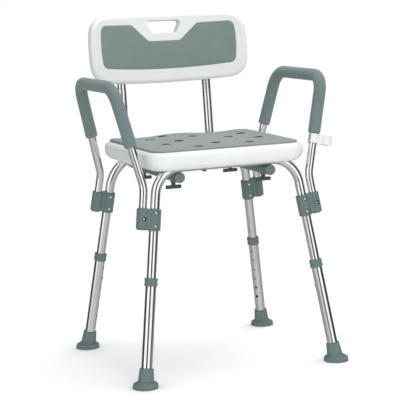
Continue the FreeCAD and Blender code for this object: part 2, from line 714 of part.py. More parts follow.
def rail_screw_places():
    """Where the rail screws stand, in plan."""
    away = S.rail_wide / 2 - S.screw_edge
    return [
        (S.sleeve_x * side + away * offset, y)
        for side in (-1, 1) for offset in (-1, 1) for y in rail_screw_rows()
    ]


def rail_screw_rows():
    """How far back from the middle the rows of rail screws are."""
    return [-S.rail_screw_end, -S.rail_screw_mid, S.rail_screw_mid, S.rail_screw_end]


def seat_pad():
    """The soft pad on the seat, with the drain holes through it."""
    body = new_body("seat_pad")
    half_x, half_y = S.seat_wide / 2 - S.pad_inset, S.seat_deep / 2 - S.pad_inset
    sketch = new_sketch(body, "XY_Plane")
    draw_rectangle(sketch, -half_x, half_x, -half_y, half_y)
    fillet(body, pad(body, sketch, S.pad_thick), S.seat_corner - S.pad_inset, stands_up)
    drill(body, DRAINS, S.drain_dia / 2)
    body.Placement = Placement(Z * float(S.seat_low + S.seat_thick), Rotation())


def seat_insert():
    """The threaded brass insert in the middle of the seat's underside."""
    body = new_body("seat_insert")
    bore = S.stud_dia / 2 + S.stud_gap
    revolve(body, [
        (bore, 0), (S.insert_dia / 2, 0), (S.insert_dia / 2, S.insert_tall), (bore, S.insert_tall),
    ])
    low = float(S.seat_low - S.seat_boss_tall)
    body.Placement = Placement(Vector(0, float(S.seat_knob_y), low), Rotation())


# ---- sleeves, rails and knobs under the seat ---------------------------------------------------

def post_sleeve(label, side):
    """A sleeve that a backrest post slides in, with a rail on top and two threaded bosses."""
    body = new_body(label)
    outer, bore = S.sleeve_dia / 2, S.post_dia / 2 + S.post_gap
    # the body's z runs from front to back and its y points down
    sketch = new_sketch(body, "XY_Plane")
    draw_circle(sketch, 0, 0, outer)
    pad(body, sketch, S.sleeve_front + S.sleeve_rear)
    rail_y = S.sleeve_height - S.seat_low
    start = S.sleeve_front - S.rail_half
    sketch = new_sketch(body, "XY_Plane", start)
    draw_rectangle(sketch, -S.rail_wide / 2, S.rail_wide / 2, rail_y, rail_y + S.rail_thick)
    pad(body, sketch, S.rail_half * 2)
    sketch = new_sketch(body, "XY_Plane", start)
    draw_rectangle(sketch, -S.web_wide / 2, S.web_wide / 2, rail_y + S.rail_thick, 0)
    pad(body, sketch, S.rail_half * 2)
    for y in (-S.knob_y, S.knob_y):
        sketch = new_sketch(body, "XZ_Plane")
        draw_circle(sketch, 0, y + S.sleeve_front, S.boss_dia / 2)
        pad(body, sketch, outer + S.boss_tall, reverse=True)
    sketch = new_sketch(body, "XY_Plane")
    draw_circle(sketch, 0, 0, bore)
    pocket(body, sketch)
    for y in (-S.knob_y, S.knob_y):
        sketch = new_sketch(body, "XZ_Plane")
        draw_circle(sketch, 0, y + S.sleeve_front, S.stud_dia / 2 + S.stud_gap)
        pocket(body, sketch, S.sleeve_dia, reverse=False)
    away = S.rail_wide / 2 - S.screw_edge
    for y in rail_screw_rows():
        for offset in (-away, away):
            sketch = new_sketch(body, "XZ_Plane")
            draw_circle(sketch, offset, S.sleeve_front + y, S.screw_dia / 2 + S.stud_gap)
            pocket(body, sketch, S.seat_low - S.sleeve_height, reverse=True)
    front = Vector(side * float(S.sleeve_x), -float(S.sleeve_front), float(S.sleeve_height))
    body.Placement = frame_at(front, Y, X)


def sleeve_plug(label, side):
    """The round plug that closes a sleeve's front end."""
    body = new_body(label)
    bore = S.post_dia / 2 + S.post_gap
    rim = S.sleeve_dia / 2
    revolve(body, [
        (0, -S.plug_face), (rim - S.plug_edge, -S.plug_face), (rim, S.plug_edge - S.plug_face),
        (rim, 0), (bore, 0), (bore, S.plug_deep), (0, S.plug_deep),
    ])
    front = Vector(side * float(S.sleeve_x), -float(S.sleeve_front), float(S.sleeve_height))
    body.Placement = frame_at(front, Y, X)


def pan_screw(base, out, length):
    """A pan-head screw: its shank runs in from the surface at base, its head stands out of it."""
    tall = float(S.screw_head_tall)
    shank = Part.makeCylinder(float(S.screw_dia) / 2, length, base, -out)
    head = Part.makeCylinder(float(S.screw_head_dia) / 2, tall, base, out)
    rim = [e for e in head.Edges if e.Closed and e.CenterOfMass.sub(base).dot(out) > tall / 2]
    return shank.fuse(head.makeFillet(tall / 2, rim)).removeSplitter()


def rail_screws():
    """The sixteen screws that hold both rails up against the seat."""
    low = float(S.seat_low - S.rail_thick)
    length = float(S.rail_thick + S.screw_deep - S.screw_short)
    screws = [pan_screw(Vector(float(x), float(y), low), -Z, length)
              for x, y in rail_screw_places()]
    feature_of("rail_screws", Part.makeCompound(screws))


def wing_knob(label, x, y, under, wing_turn):
    """A T-shaped hand screw that hangs under a threaded face at a height."""
    body = new_body(label)
    # the body's z runs up the stud, and its base plane is the underside of the wing
    sketch = new_sketch(body, "XY_Plane")
    draw_rectangle(sketch, -S.wing_long / 2, S.wing_long / 2, -S.wing_wide / 2, S.wing_wide / 2)
    wing = fillet(body, pad(body, sketch, S.wing_tall), S.wing_wide * 0.3, stands_up)
    fillet(body, wing, S.wing_tall * 0.12, runs_flat)
    sketch = new_sketch(body, "XY_Plane", S.wing_tall / 2)
    draw_circle(sketch, 0, 0, S.stem_dia / 2)
    pad(body, sketch, S.wing_tall / 2 + S.stem_tall)
    sketch = new_sketch(body, "XY_Plane", S.wing_tall)
    draw_circle(sketch, 0, 0, S.stud_dia / 2)
    pad(body, sketch, S.stem_tall + S.stud_long)
    base = Vector(float(x), float(y), float(under - S.stem_gap - S.stem_tall - S.wing_tall))
    body.Placement = Placement(base, Rotation(Z, float(wing_turn)))


# ---- backrest ----------------------------------------------------------------------------------

def back_post(label, side):
    """An L-shaped tube: up behind the backrest, and forward into its sleeve."""
    x = side * float(S.sleeve_x)
    foot = Vector(x, float(S.post_foot_y), float(S.sleeve_height))
    rise = float(S.post_top - S.sleeve_height)
    top = foot + Vector(0, float(S.post_lean) * rise, rise)
    front = Vector(x, -float(S.post_front), foot.z)
    path = bent_path([front, foot, top], [float(S.post_bend)])
    tube = rod(path, S.post_dia / 2).cut(rod(path, S.post_dia / 2 - S.post_wall))
    bores = []
    for base, out in back_screw_frames(side):
        bores.append(cylinder(S.screw_dia / 2 + S.stud_gap, base - out * float(S.post_dia),
                              base + out * float(S.post_dia)))
    feature_of(label, tube.cut(bores))


def post_spot(side, height):
    """A point on the upright part of a post's axis, at a height."""
    rise = height - float(S.sleeve_height)
    return Vector(side * float(S.sleeve_x), float(S.post_foot_y) + float(S.post_lean) * rise, height)


def back_screw_frames(side):
    """Where the screws through a post start, and the direction in which their heads look."""
    out = Vector(0, 1, -float(S.post_lean)).normalize()
    radius = float(S.post_dia) / 2
    upper = S.back_top - S.back_screw_down
    heights = (float(upper - S.back_screw_apart), float(upper))
    return [(post_spot(side, height) + out * radius, out) for height in heights]


def backrest_screws():
    """The screws through both posts into the backrest."""
    length = float(S.post_dia + S.back_screw_deep)
    screws = [pan_screw(base, out, length) for side in (-1, 1)
              for base, out in back_screw_frames(side)]
    feature_of("backrest_screws", Part.makeCompound(screws))


def post_caps():
    """The plastic caps in the top ends of the posts."""
    caps = []
    up = Vector(0, float(S.post_lean), 1).normalize()
    radius, bore = float(S.post_dia) / 2, float(S.post_dia / 2 - S.post_wall)
    deep = float(S.cap_deep)
    for side in (-1, 1):
        top = post_spot(side, float(S.post_top))
        lid = Part.makeCylinder(radius, float(S.cap_lid), top, up)
        spigot = Part.makeCylinder(bore, deep, top - up * deep, up)
        caps.append(lid.fuse(spigot).removeSplitter())
    feature_of("post_caps", Part.makeCompound(caps))


def upright_slab(points, bulges, corner):
    """A slab through the backrest with bowed edges and rounded corners, standing along y."""
    spots = [Vector(x, -BACK_REACH, z) for x, z in points]
    edges = []
    for start, end, bulge in zip(spots, spots[1:] + spots[:1], bulges):
        if bulge == 0:
            edges.append(Part.LineSegment(start, end).toShape())
            continue
        run = end - start
        out = Vector(-run.z, 0, run.x).normalize() * -bulge
        edges.append(Part.Arc(start, (start + end) / 2 + out, end).toShape())
    slab = Part.Face(Part.Wire(edges)).extrude(Y * (2 * BACK_REACH))
    upright = [e for e in slab.Edges if e.BoundBox.YLength > 2 * BACK_REACH - 1]
    if corner > 0:
        slab = slab.makeFillet(corner, upright)
    return slab


def curved_layer(front, rear):
    """The space between two depths behind the backrest's curved front face."""
    radius = float(S.back_curve)
    centre = Vector(0, -radius, -BACK_REACH)
    tall = 2 * BACK_REACH
    outer = Part.makeCylinder(radius + rear, tall, centre)
    return outer.cut(Part.makeCylinder(radius + front, tall, centre))


def back_frame():
    """The backrest's own frame: its origin is the middle of the curved front face."""
    middle = float(S.back_top + S.back_low) / 2
    spot = Vector(0, float(S.back_y), middle)
    lean = math.degrees(math.atan(float(S.post_lean)))
    return Placement(spot, Rotation(X, -lean))


def back_outline(inset):
    """The backrest's outline, drawn in by a margin."""
    half = float(S.back_wide) / 2 - float(S.back_side_bulge) - inset
    tall = float(S.back_top - S.back_low) / 2 - float(S.back_bulge) - inset
    bow, side_bow = float(S.back_bulge), float(S.back_side_bulge)
    points = [(-half, -tall), (half, -tall), (half, tall), (-half, tall)]
    return upright_slab(points, [bow, side_bow, bow, side_bow], float(S.back_corner) - inset)


def hand_hole(margin):
    """The hole for a hand near the top edge, wider above than below."""
    top = float(S.back_top - S.back_low) / 2 - float(S.hand_below_top) + margin
    low = top - float(S.hand_tall) - 2 * margin
    wide, narrow = float(S.hand_top_wide) / 2 + margin, float(S.hand_low_wide) / 2 + margin
    points = [(-narrow, low), (narrow, low), (wide, top), (-wide, top)]
    return upright_slab(points, [0, 0, 0, 0], float(S.hand_corner) + margin)


def pad_outline(gap):
    """The outline of the backrest's pad, with a notch below the hand hole."""
    half = float(S.back_wide) / 2 - float(S.back_pad_side) - gap
    tall = float(S.back_top - S.back_low) / 2
    top, low = tall - float(S.back_pad_top) - gap, float(S.back_pad_low) - tall + gap
    wide, narrow = float(S.notch_top_wide) / 2 + gap, float(S.notch_low_wide) / 2 + gap
    floor = top - float(S.notch_deep)
    bow = float(S.back_bulge)
    points = [
        (-half, low), (half, low), (half, top), (wide, top), (narrow, floor),
        (-narrow, floor), (-wide, top), (-half, top),
    ]
    return upright_slab(points, [bow, bow * 0.7, 0, 0, 0, 0, 0, bow * 0.7],
                        float(S.back_pad_corner))


def backrest_shell():
    """The hollow curved moulding, with the pad's recess and a channel behind for each post."""
    thick = float(S.back_thick)
    shell = curved_layer(0, thick).common(back_outline(0))
    shell = shell.Solids[0]
    rim = [e for e in shell.Edges if e.BoundBox.YLength < 70 and not stands_across(e)]
    shell = shell.makeFillet(float(S.back_rim), rim)
    hollow = curved_layer(float(S.back_front_wall), thick - float(S.back_rear_wall))
    hollow = hollow.common(back_outline(float(S.back_rim)))
    hollow = hollow.cut(hand_hole(float(S.seat_wall)))
    recess = curved_layer(-BACK_REACH / 2, float(S.back_pad_thick - S.back_pad_proud))
    recess = recess.common(pad_outline(0))
    shell = round_hand_hole(shell.cut([hollow, hand_hole(0), recess]).Solids[0])
    shell.Placement = back_frame()
    bores = []
    screw_long = float(S.post_dia + S.back_screw_deep)
    for side in (-1, 1):
        low = post_spot(side, float(S.back_low - S.channel_more))
        high = post_spot(side, float(S.post_top + S.channel_over))
        bores.append(cylinder(S.post_dia / 2 + S.channel_gap, low, high))
        for base, out in back_screw_frames(side):
            bores.append(cylinder(S.screw_dia / 2, base - out * screw_long, base))
    feature_of("backrest_shell", shell.cut(bores))


def round_hand_hole(shell):
    """Rounds both mouths of the hand hole."""
    box = hand_hole(0.5).BoundBox
    mouths = [e for e in shell.Edges if e.BoundBox.XMin > box.XMin and e.BoundBox.XMax < box.XMax
              and e.BoundBox.ZMin > box.ZMin and e.BoundBox.ZMax < box.ZMax
              and not stands_across(e)]
    return shell.makeFillet(float(S.hand_round), mouths)


def stands_across(edge):
    """Whether an edge runs through the backrest's thickness."""
    start, end = edge.valueAt(edge.FirstParameter), edge.valueAt(edge.LastParameter)
    return abs(end.y - start.y) > float(S.back_thick) * 0.8 and abs(end.z - start.z) < 1


def backrest_pad():
    """The soft pad in the backrest's recess, a little proud of its face."""
    thick, proud = float(S.back_pad_thick), float(S.back_pad_proud)
    sheet = curved_layer(-proud, thick - proud).common(pad_outline(float(S.back_pad_gap)))
    sheet.Placement = back_frame()
    feature_of("backrest_pad", sheet)


# ---- shower-head clip --------------------------------------------------------------------------

def clip_frame():
    """A frame on the front right arm just under its grip: z up the arm, x outwards."""
    bend, top = arm_points(1)[1:3]
    up = (top - bend).normalize()
    base = arm_point_at(1, -1, float(S.grip_low)) - up * float(S.clip_below_grip + S.clip_tall)
    return frame_at(base, up, X)


def shower_head_clip():
    """A sprung ring on the arm with an open cup beside it for a hand shower."""
    body = new_body("shower_head_clip")
    grip = S.arm_dia / 2 + S.fit_gap
    for x, radius in ((0, grip + S.clip_wall), (S.cup_away, S.cup_bore / 2 + S.cup_wall)):
        sketch = new_sketch(body, "XY_Plane")
        draw_circle(sketch, x, 0, radius)
        pad(body, sketch, S.clip_tall)
    sketch = new_sketch(body, "XY_Plane")
    draw_rectangle(sketch, 0, S.cup_away, -S.neck_wide / 2, S.neck_wide / 2)
    pad(body, sketch, S.clip_tall)
    for x, radius in ((0, grip), (S.cup_away, S.cup_bore / 2)):
        sketch = new_sketch(body, "XY_Plane")
        draw_circle(sketch, x, 0, radius)
        pocket(body, sketch)
    sketch = new_sketch(body, "XY_Plane")
    draw_rectangle(sketch, -S.cup_away, 0, -S.clip_slot / 2, S.clip_slot / 2)
    pocket(body, sketch)
    sketch = new_sketch(body, "XY_Plane")
    draw_rectangle(sketch, S.cup_away, S.cup_away * 2, -S.cup_slot / 2, S.cup_slot / 2)
    pocket(body, sketch)
    body.Placement = clip_frame()


# ---- the whole chair ---------------------------------------------------------------------------

def build():
    leg_arch("front_leg_arch", -1)
    leg_arch("rear_leg_arch", 1)
    leg_bore = S.leg_dia / 2 - S.leg_wall
    arm_bore = S.arm_dia / 2 - S.arm_wall
    leg_root = leg_bore - S.button_flange_thick - S.button_flange_gap
    arm_root = arm_bore - S.button_flange_thick - S.button_flange_gap
    clamp_face = S.arm_dia / 2 + S.fit_gap + S.clamp_wall
    for name, (side, end) in CORNERS.items():
        leg = leg_frame(side, end)
        leg_extension(f"leg_extension_{name}", leg)
        leg_collar(f"leg_collar_{name}", leg)
        rubber_foot(f"rubber_foot_{name}", side, end)
        button = leg_frame(side, end, S.hole_used_up)
        snap_button(f"leg_button_{name}", S.end_dia / 2 + S.button_proud, S.button_dia / 2,
                    leg_root, button)
        strip_spring(f"leg_spring_{name}", leg_root, leg_bore, button)
        leg_clamp(f"leg_clamp_{name}", side, end)
        button = arm_button_frame(side, end)
        snap_button(f"arm_button_{name}", clamp_face - S.arm_button_sunk, S.arm_button_dia / 2,
                    arm_root, button)
        upside_down = button.multiply(Placement(ORIGIN, Rotation(X, 180)))
        strip_spring(f"arm_spring_{name}", arm_root, arm_bore, upside_down)
    clamp_rivets()
    for name, side in SIDES.items():
        arm_tube(f"arm_tube_{name}", side)
        arm_grip(f"arm_grip_{name}", side)
        post_sleeve(f"post_sleeve_{name}", side)
        sleeve_plug(f"sleeve_plug_{name}", side)
        back_post(f"back_post_{name}", side)
        for place, end in (("front", -1), ("rear", 1)):
            face = S.sleeve_height - S.sleeve_dia / 2 - S.boss_tall
            wing_knob(f"knob_{place}_{name}", S.sleeve_x * side, S.knob_y * end, face, 0)
    wing_knob("knob_seat", 0, S.seat_knob_y, S.seat_low - S.seat_boss_tall, S.seat_knob_turn)
    seat_shell()
    seat_pad()
    seat_insert()
    rail_screws()
    backrest_shell()
    backrest_pad()
    backrest_screws()
    post_caps()
    shower_head_clip()


def sub_parts():
    return [item for item in doc.Objects
            if item.isDerivedFrom("PartDesign::Body") or item.TypeId == "Part::Feature"]


def check_and_write():
    doc.recompute()
    for item in doc.Objects:
        if "Invalid" in item.State or "Error" in item.State:
            raise RuntimeError(f"{item.Label} ({item.Name}) failed: {item.State}")
    for item in sub_parts():
        if item.Shape.isNull() or not item.Shape.isValid() or not item.Shape.Solids:
            raise RuntimeError(f"{item.Label} has no sound solid")
    os.makedirs("parts", exist_ok=True)
    for item in sub_parts():
        item.Shape.exportStep(f"parts/{item.Label}.step")
        print(f"{item.Label}: {len(item.Shape.Solids)} solid(s), {item.Shape.Volume / 1000:.1f} cm3")


build()
check_and_write()
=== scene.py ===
"""Looks for a shower chair: foam pads and grips, and procedural materials on the CAD pieces.

Metres, +Z up, the front faces -Y, and the origin lies on the floor in the middle of the feet.
"""

import json
import math

import bmesh
import bpy
from mathutils import Matrix, Vector, geometry, noise


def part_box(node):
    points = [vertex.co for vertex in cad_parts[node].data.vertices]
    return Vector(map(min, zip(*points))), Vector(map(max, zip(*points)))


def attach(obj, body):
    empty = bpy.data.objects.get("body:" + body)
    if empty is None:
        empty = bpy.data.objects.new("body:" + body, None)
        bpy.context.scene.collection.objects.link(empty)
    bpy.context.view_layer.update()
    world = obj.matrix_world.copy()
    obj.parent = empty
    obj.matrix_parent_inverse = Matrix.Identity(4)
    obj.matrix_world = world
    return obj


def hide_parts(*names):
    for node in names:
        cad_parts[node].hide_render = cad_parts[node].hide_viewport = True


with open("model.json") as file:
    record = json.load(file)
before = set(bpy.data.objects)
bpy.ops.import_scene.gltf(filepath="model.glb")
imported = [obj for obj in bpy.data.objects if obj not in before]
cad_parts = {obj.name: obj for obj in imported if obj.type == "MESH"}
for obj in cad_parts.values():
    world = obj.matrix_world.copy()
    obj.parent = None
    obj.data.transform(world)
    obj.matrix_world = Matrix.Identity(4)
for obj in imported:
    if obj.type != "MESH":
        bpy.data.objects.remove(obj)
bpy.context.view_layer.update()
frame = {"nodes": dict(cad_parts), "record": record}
MM = 0.001

# the camera: the directions that it looks from, its tilt, its place and its lens
CAMERA_AZIMUTH = math.radians(-22.40)
CAMERA_ELEVATION = math.radians(8.63)
CAMERA_ROLL = math.radians(1.86)
CAMERA_PLACE = Vector((-1.3285, -3.1999, 0.9113))
CAMERA_LENS = 129.24

# the pad on the seat
PAD_EDGE = 1.6 * MM
PAD_WAVE = 2.4 * MM
PAD_WAVE_PITCH = 200 * MM
PAD_WAVE_FULL = 0.8
PAD_DENT = 0.25 * MM
PAD_DENT_SCALE = 18.0
PAD_STEP = 6 * MM
PAD_CORNER = 31 * MM
DRAIN_RADIUS = 11 * MM
DRAIN_LIP = 1.8 * MM
DRAIN_PARTS = 40
EDGE_STEP = 5 * MM
# centres of the drain holes, as shares of the seat's half width and half depth
DRAIN_SHARES = (
    (-0.240, 0.773), (0.040, 0.414), (-0.490, 0.530), (-0.260, 0.110), (-0.510, -0.122),
    (-0.285, -0.652), (0.015, -0.442), (0.440, 0.221), (0.705, 0.453), (0.695, -0.138),
    (0.400, -0.575),
)

# the pad in the backrest: the curved face that it lies on, and its outline on that face
BACK_MIDDLE = Vector((0, 224.6, 748.0)) * MM
BACK_LEAN = math.atan(0.096)
BACK_CURVE = 467 * MM
BACK_PAD_REAR = 3.4 * MM
BACK_PAD_THICK = 4.0 * MM
BACK_PAD_HALF = 177.7 * MM
BACK_PAD_TOP = 60.7 * MM
BACK_PAD_LOW = -44.7 * MM
BACK_PAD_CORNER = 16 * MM
BACK_PAD_BOW = 7 * MM
BACK_PAD_CROWN = 1.2 * MM
BACK_PAD_EDGE = 1.4 * MM
CROWN_TALL = 60 * MM
BACK_EDGE_STEP = 4 * MM
BACK_PAD_STEP = 5 * MM
NOTCH_TOP = 89.3 * MM
NOTCH_LOW = 43.3 * MM
NOTCH_FLOOR = 18.7 * MM

# the foam grips over the arms
ARM_LEAN = Vector((0.24, -0.125, 1.0))
ARM_TOP = 680 * MM
ARM_CORNER = 45 * MM
GRIP_LOW = 545 * MM
GRIP_RADIUS = 15 * MM
GRIP_BORE = 9.7 * MM
GRIP_STEP = 2.0 * MM
GRIP_AROUND = 48
GRIP_SOFT = 1.6 * MM
GRIP_WANDER = 0.25 * MM
CREASE_DEEP = 0.35 * MM
CREASE_PITCH = 7.5 * MM
WANDER_SCALE = 30.0

# nets of points in a sheet: the gap between rows and the gap to an edge, in steps
NET_ROW = 0.866
NET_GAP = 0.6

# surfaces: the part of a noise's range that carries its contrast, and the painted shade in
# crevices and in the drain holes
MIDDLE = (0.3, 0.7)
CREVICE_SAMPLES = 6
WELL = "hole_shade"
WELL_SHADE = 0.16
WHITE = (0.80, 0.81, 0.81)
SEAT_GREY = (0.235, 0.262, 0.26)
BACK_GREY = (0.20, 0.262, 0.252)
GRIP_GREY = (0.155, 0.215, 0.21)
PLASTIC_GREY = (0.125, 0.18, 0.175)
KNOB_GREY = (0.05, 0.072, 0.07)
ALUMINIUM = (0.90, 0.915, 0.92)
STEEL = (0.86, 0.87, 0.88)
BRASS = (0.78, 0.58, 0.28)

# the floor: a disc that fades out, with painted shadow that darkens it close to what stands on it
FLOOR_REACH = 1.6
FLOOR_FADE = 0.45
FLOOR_GLOW = 0.18
FLOOR_SHADOW = 0.12
FLOOR_SAMPLES = 12
FLOOR_PALE = (0.92, 0.92, 0.92)
FLOOR_PAINTED_SHADOW = (0.3, 0.3, 0.3)

# two square lights: name, place, what it looks at, width and power
LIGHTS = (
    ("key", (-0.7, -3.4, 1.9), (0, 0, 0.4), 2.0, 62),
    ("top", (0.8, 0.2, 3.0), (0, 0, 0.3), 1.6, 36),
)

# the world's light all round, and what shiny surfaces reflect of it. Bands are stops of place and
# brightness: round the horizon 0 and 1 are behind the chair and 0.5 is at the camera, and by
# height 0 is straight down, 0.5 the horizon and 1 straight up.
DOME = (0.60, 0.61, 0.61)
SOFT_BOXES = (
    (0.0, 0.6), (0.11, 0.6), (0.15, 0.04), (0.295, 0.04), (0.33, 1.1), (0.43, 1.3),
    (0.455, 0.1), (0.53, 0.1), (0.56, 1.15), (0.655, 1.0), (0.685, 0.04), (0.85, 0.04),
    (0.89, 0.6), (1.0, 0.6),
)
UNDER = ((0.0, 0.28), (0.30, 0.34), (0.43, 0.56), (0.58, 0.6), (0.70, 0.4), (1.0, 0.28))
HORIZON = ((0.0, 0.0), (0.38, 0.0), (0.43, 1.0), (1.0, 1.0))
OVERHEAD = ((0.0, 0.0), (0.86, 0.0), (0.95, 0.9), (1.0, 1.1))


# ---- node materials ----------------------------------------------------------------------------

class Nodes:
    """A node tree, with helpers that add nodes to it."""

    def __init__(self, tree):
        self.tree = tree

    def feed(self, socket, value):
        """Links another node's output to a socket, or sets the socket to a constant."""
        if hasattr(value, "is_output"):
            self.tree.links.new(value, socket)
        else:
            socket.default_value = value

    def node(self, kind, *first, **named):
        """A node whose inputs are fed in order, by name, or both."""
        made = self.tree.nodes.new(kind)
        for name, value in named.items():
            self.feed(made.inputs[name], value)
        for place, value in enumerate(first):
            self.feed(made.inputs[place], value)
        return made

    def ramp(self, fac, low, high, start=0.0, end=1.0):
        """Maps a range of values to another, and keeps to it."""
        made = self.node("ShaderNodeMapRange", fac, start, end, low, high)
        return made.outputs["Result"]

    def math(self, operation, first, second):
        made = self.node("ShaderNodeMath", first, second)
        made.operation = operation
        return made.outputs["Value"]

    def mix(self, factor, first, second, blend="MIX"):
        """Blends two colours."""
        made = self.node("ShaderNodeMix")
        made.data_type = "RGBA"
        made.blend_type = blend
        for place, value in (("Factor", factor), ("A", first), ("B", second)):
            self.feed(made.inputs[place], value)
        return made.outputs["Result"]


class Shader(Nodes):
    """One principled material, with helpers for the nodes that feed it."""

    def __init__(self, name, colour, roughness, metallic=0.0):
        self.material = bpy.data.materials.new(name)
        self.material.use_nodes = True
        super().__init__(self.material.node_tree)
        self.surface = self.tree.nodes["Principled BSDF"]
        self.set(**{"Base Color": (*colour, 1), "Roughness": roughness, "Metallic": metallic})
        self.place = self.node("ShaderNodeTexCoord").outputs["Object"]

    def set(self, **values):
        """Sets constants, or links outputs, on the shader's own sockets."""
        for name, value in values.items():
            self.feed(self.surface.inputs[name], value)

    def stretched(self, scale):
        """The object's coordinates, scaled by a different amount along each axis."""
        return self.node("ShaderNodeMapping", Vector=self.place, Scale=scale).outputs["Vector"]

    def grain(self, scale, detail=3.0, roughness=0.55, place=None):
        """Noise in the object's coordinates."""
        return self.node("ShaderNodeTexNoise", Vector=place or self.place, Scale=scale,
                         Detail=detail, Roughness=roughness).outputs["Fac"]

    def openness(self, reach, shut, clear, samples):
        """0 where a spot is as hemmed in as shut, and 1 where it is as open as clear."""
        hollow = self.node("ShaderNodeAmbientOcclusion", Distance=reach)
        hollow.samples = samples
        return self.ramp(hollow.outputs["AO"], 0.0, 1.0, shut, clear)

    def bump(self, *layers):
        """Stacks height layers, each a height, a distance in metres and a strength."""
        normal = None
        for height, distance, strength in layers:
            bump = self.node("ShaderNodeBump", Height=height, Distance=distance, Strength=strength)
            if normal is not None:
                self.feed(bump.inputs["Normal"], normal)
            normal = bump.outputs["Normal"]
        self.set(Normal=normal)


def shade(colour, factor):
    return tuple(channel * factor for channel in colour)


def opaque(colour):
    return (*colour, 1)


def mottled_with_painted_shade(shader, colour, spread, crevice_shade, scale, reach, shut=0.2, clear=0.8):
    """Colour that varies a little over the surface, with painted shade where it is hemmed in.

    The last two are how open a spot is, from 0 to 1, when it is darkest and when it is clear.
    """
    cloud = shader.ramp(shader.grain(scale, 5.0), 1 - spread, 1 + spread, *MIDDLE)
    # painted shade: occlusion darkens the colour in crevices and recesses
    near = shader.openness(reach, shut, clear, CREVICE_SAMPLES)
    crevice_shaded = shader.mix(near, opaque(shade(colour, crevice_shade)), opaque(colour))
    shader.set(**{"Base Color": shader.mix(1.0, crevice_shaded, cloud, "MULTIPLY")})


def moulded_plastic(name, colour, roughness, texture, crevice_shade, coat=0.0):
    """Injection or blow moulded plastic: a fine eggshell texture with faint flow marks."""
    shader = Shader(name, colour, roughness)
    # random tone, and painted shade in crevices and rivet recesses
    mottled_with_painted_shade(shader, colour, 0.02, crevice_shade, 9.0, 4 * MM)
    speckle = shader.grain(1500.0, 2.0)
    flow = shader.grain(14.0, 4.0)
    shader.set(Roughness=shader.ramp(flow, roughness - 0.08, roughness + 0.1, *MIDDLE))
    shader.bump((flow, 0.5 * MM, 0.12), (speckle, texture * MM, 0.5))
    shader.set(**{"Coat Weight": coat, "Coat Roughness": 0.3, "IOR": 1.49})
    return shader.material


def foam(name, colour, pore):
    """Closed-cell foam with a skin: pores, a soft mottle, and painted shade down the drain holes'
    walls.
    """
    shader = Shader(name, colour, 0.82)
    mottle = shader.ramp(shader.grain(26.0, 6.0, 0.65), 0.0, 1.0, 0.28, 0.72)
    pores = shader.node("ShaderNodeTexVoronoi", Vector=shader.place, Scale=pore)
    cells = shader.ramp(pores.outputs["Distance"], 0.0, 1.0, 0.05, 0.45)
    speck = shader.math("MULTIPLY", mottle, shader.ramp(cells, 0.75, 1.0))
    skin = shader.mix(speck, opaque(shade(colour, 0.93)), opaque(shade(colour, 1.04)))
    # painted shade in the drain holes, where the hole walls carry the mask
    hole_shade = shader.node("ShaderNodeAttribute")
    hole_shade.attribute_name = WELL
    deep = opaque(shade(colour, WELL_SHADE))
    shader.set(**{"Base Color": shader.mix(hole_shade.outputs["Fac"], skin, deep)})
    shader.set(Roughness=shader.ramp(mottle, 0.74, 0.9))
    dents = shader.grain(55.0, 3.0)
    shader.bump((dents, 0.5 * MM, 0.16), (cells, 0.22 * MM, 0.55))
    shader.set(**{"Sheen Weight": 0.2, "Sheen Roughness": 0.5, "Sheen Tint": (0.9, 1, 0.97, 1)})
    return shader.material


def drawn_tube(name, colour, roughness):
    """Bright anodised tube: fine lines along its length and a slightly uneven polish."""
    shader = Shader(name, colour, roughness, 1.0)
    lines = shader.grain(1.0, 4.0, 0.6, shader.stretched((900.0, 900.0, 6.0)))
    polish = shader.grain(18.0, 4.0)
    marks = shader.math("MULTIPLY", shader.ramp(lines, 0.6, 1.0, *MIDDLE),
                        shader.ramp(polish, 0.8, 1.2))
    shader.set(Roughness=shader.ramp(marks, roughness - 0.04, roughness + 0.07, 0.4, 1.1))
    # random tone, and painted shade where the tube meets clamps and other parts
    mottled_with_painted_shade(shader, colour, 0.025, 0.1, 18.0, 3 * MM, 0.3, 0.9)
    shader.bump((lines, 0.03 * MM, 0.25), (polish, 0.4 * MM, 0.04))
    return shader.material


def plated(name, colour, roughness):
    """Small metal parts: plated, with fine scratches, and painted shade where a head sits in a
    recess.
    """
    shader = Shader(name, colour, roughness, 1.0)
    scratches = shader.grain(1.0, 5.0, 0.7, shader.stretched((300.0, 2400.0, 300.0)))
    shader.set(Roughness=shader.ramp(scratches, roughness - 0.06, roughness + 0.12, *MIDDLE))
    mottled_with_painted_shade(shader, colour, 0.05, 0.03, 60.0, 5 * MM, 0.55, 0.97)
    shader.bump((scratches, 0.03 * MM, 0.3))
    return shader.material


def rubber(name, colour):
    """Matt moulded rubber: a soft bloom, painted shade in the corners and a slightly rough skin.
    """
    shader = Shader(name, colour, 0.62)
    mottled_with_painted_shade(shader, colour, 0.05, 0.5, 22.0, 8 * MM)
    skin = shader.grain(700.0, 3.0)
    bloom = shader.grain(30.0, 4.0)
    shader.set(Roughness=shader.ramp(bloom, 0.52, 0.74, *MIDDLE))
    shader.bump((bloom, 0.4 * MM, 0.1), (skin, 0.12 * MM, 0.5))
    return shader.material


